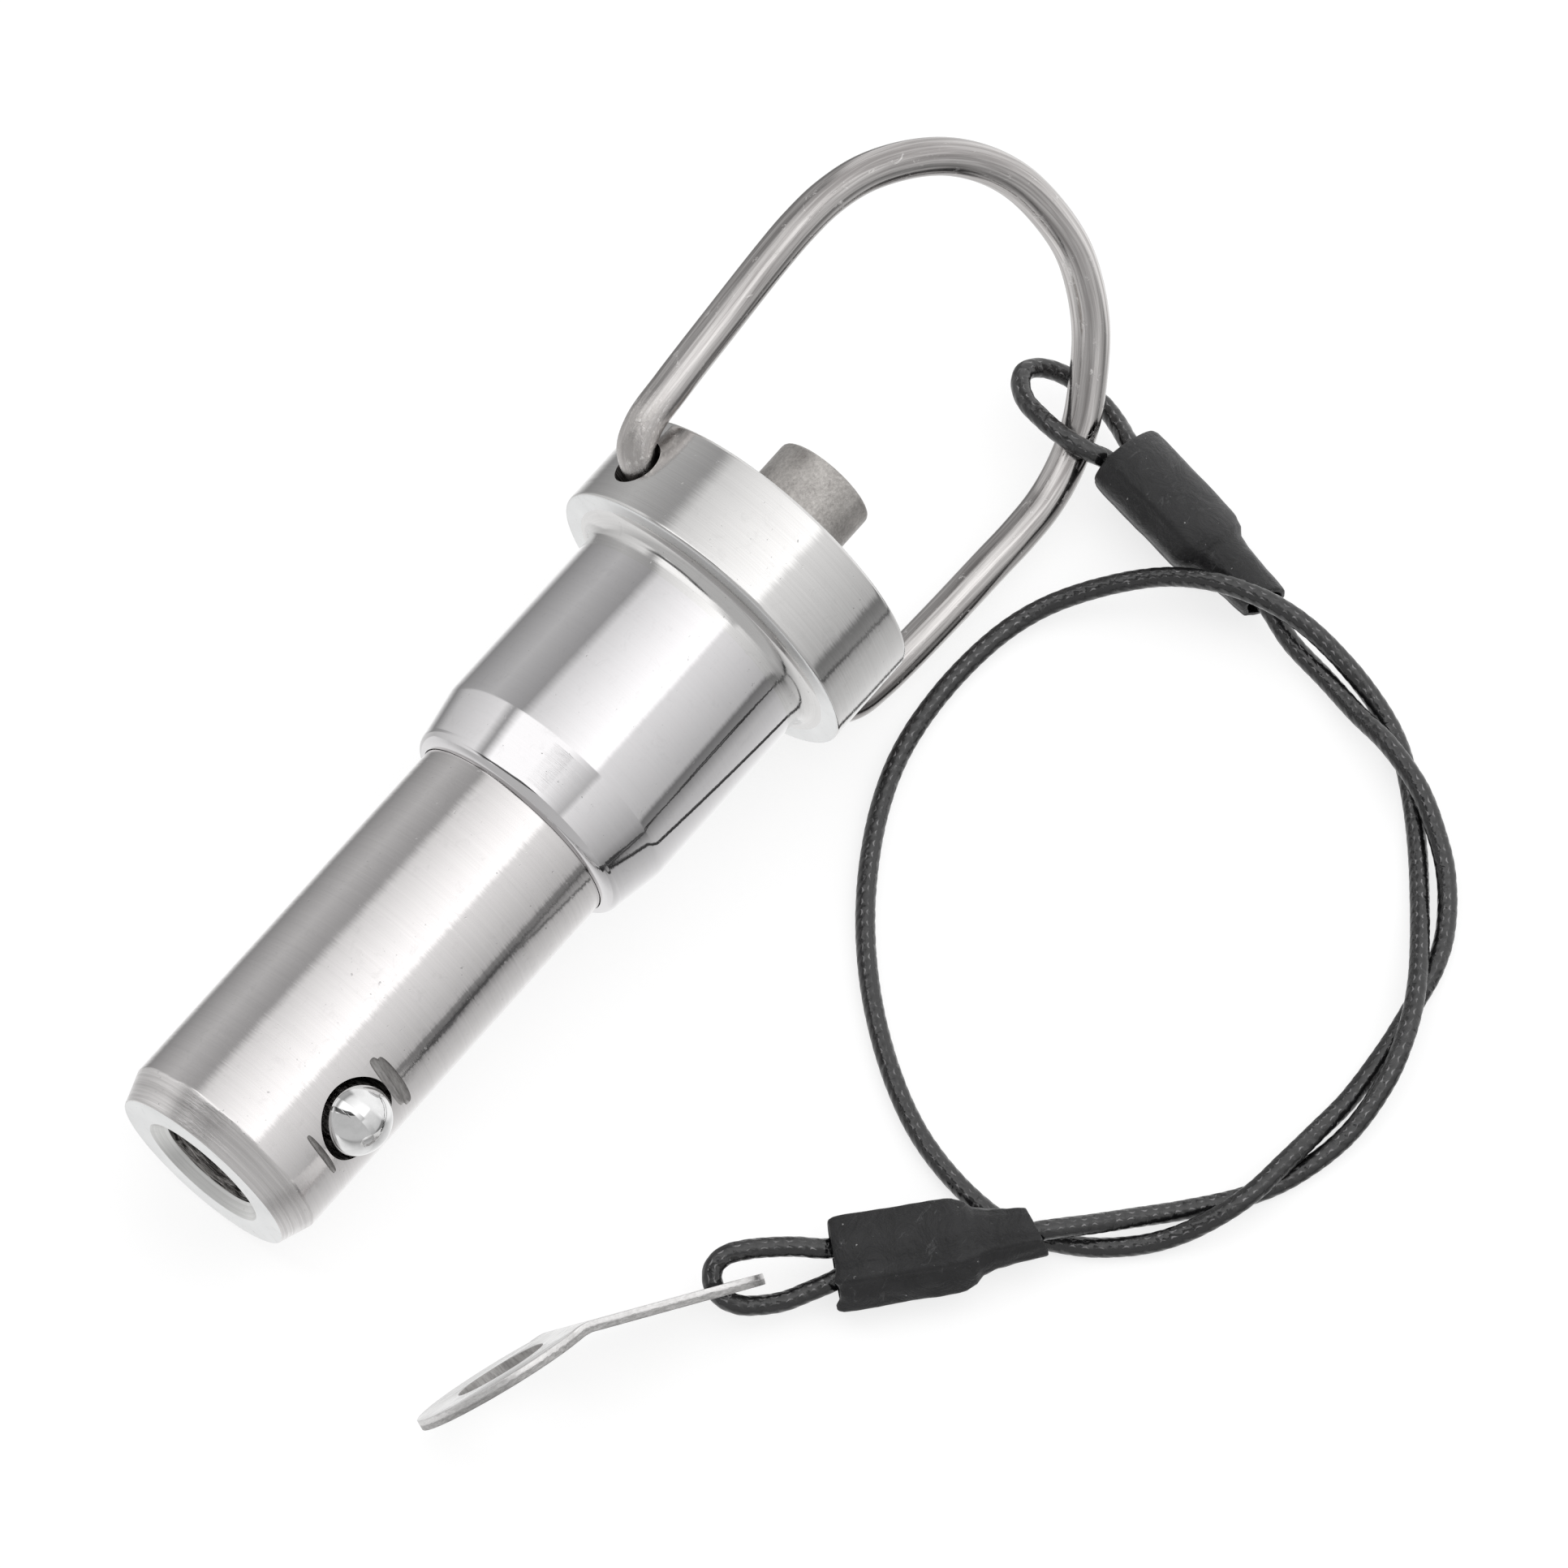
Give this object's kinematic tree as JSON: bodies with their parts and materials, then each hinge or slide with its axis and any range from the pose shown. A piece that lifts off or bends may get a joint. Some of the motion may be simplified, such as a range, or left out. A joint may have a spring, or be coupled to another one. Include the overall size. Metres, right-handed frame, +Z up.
{
  "type": "ball-lock hitch pin",
  "caption": "Push-button ball-lock hitch pin with a stepped shank, round head, wire bail and coated-cable lanyard that ends in a bent mounting tab.",
  "frame": {"origin": "on the surface the pin lies on, under the middle of the pin and bail's box", "axes": "+X from the tip towards the head and bail, the pin's axis tilted up 5 degrees in the XZ plane; +Z up; the lanyard lies on the -Y side"},
  "size_m": [0.0981, 0.0698, 0.0271],
  "materials": {
    "satin_steel": "turned stainless steel, fine lines round the axis",
    "polished_steel": "turned and polished stainless steel",
    "blasted_steel": "bead-blasted stainless steel, dull",
    "spring_steel": "drawn spring wire",
    "ball_steel": "mirror-ground bearing ball",
    "bail_steel": "polished wire with scuffs and a dull bend at each end",
    "sheet_steel": "bright rolled sheet with rough sheared edges",
    "ferrule_metal": "pressed, satin",
    "cable_coat": "black clear-coated cable, the strands showing as a faint wave",
    "heat_shrink": "matt black heat-shrink sleeve with fine dust"
  },
  "bodies": {
    "pin_body": {"shank": "satin_steel", "shoulder_sleeve": "polished_steel", "return_spring": "spring_steel"},
    "plunger": {"spindle": "satin_steel", "push_button": "blasted_steel"},
    "ball_1": {"locking_ball_1": "ball_steel"},
    "ball_2": {"locking_ball_2": "ball_steel"},
    "bail": {"bail": "bail_steel"},
    "lanyard": {"lanyard_cable": "cable_coat", "bail_eye": "cable_coat", "tab_eye": "cable_coat", "heat_shrink_bail": "heat_shrink", "ferrule_bail": "ferrule_metal", "heat_shrink_tab": "heat_shrink", "ferrule_tab": "ferrule_metal"},
    "tab": {"mounting_tab": "sheet_steel"}
  },
  "joints": [
    {"name": "button_push", "type": "slide", "parent": "pin_body", "child": "plunger", "axis": [-0.9961, 0, -0.0878], "range_m": [0, 0.004], "stiffness_N_per_m": 1500, "springref_m": -0.005, "deforming": ["return_spring"]},
    {"name": "ball_1_in", "type": "slide", "parent": "pin_body", "child": "ball_1", "axis": [0.0419, 0.8788, -0.4753], "range_m": [0, 0.00225]},
    {"name": "ball_2_in", "type": "slide", "parent": "pin_body", "child": "ball_2", "axis": [-0.0419, -0.8788, 0.4753], "range_m": [0, 0.00225]},
    {"name": "bail_swing", "type": "hinge", "parent": "pin_body", "child": "bail", "pos_m": [0.00984, 0, 0.01274], "axis": [-0.067, 0.6468, 0.7597], "range_deg": [-160, 160]},
    {"name": "lanyard_swing", "type": "hinge", "parent": "bail", "child": "lanyard", "pos_m": [0.039, -0.0077, 0.0046], "axis": [0.8052, 0.3641, 0.4681], "range_deg": [-45, 60]},
    {"name": "tab_swing", "type": "hinge", "parent": "lanyard", "child": "tab", "pos_m": [-0.02895, -0.0318, 0.0032], "axis": [0.5002, 0.7684, 0.3992], "range_deg": [-90, 90]}
  ],
  "couplings": [
    {"joint": "ball_1_in", "follows": "button_push", "ratio": 0.5625},
    {"joint": "ball_2_in", "follows": "button_push", "ratio": 0.5625}
  ]
}
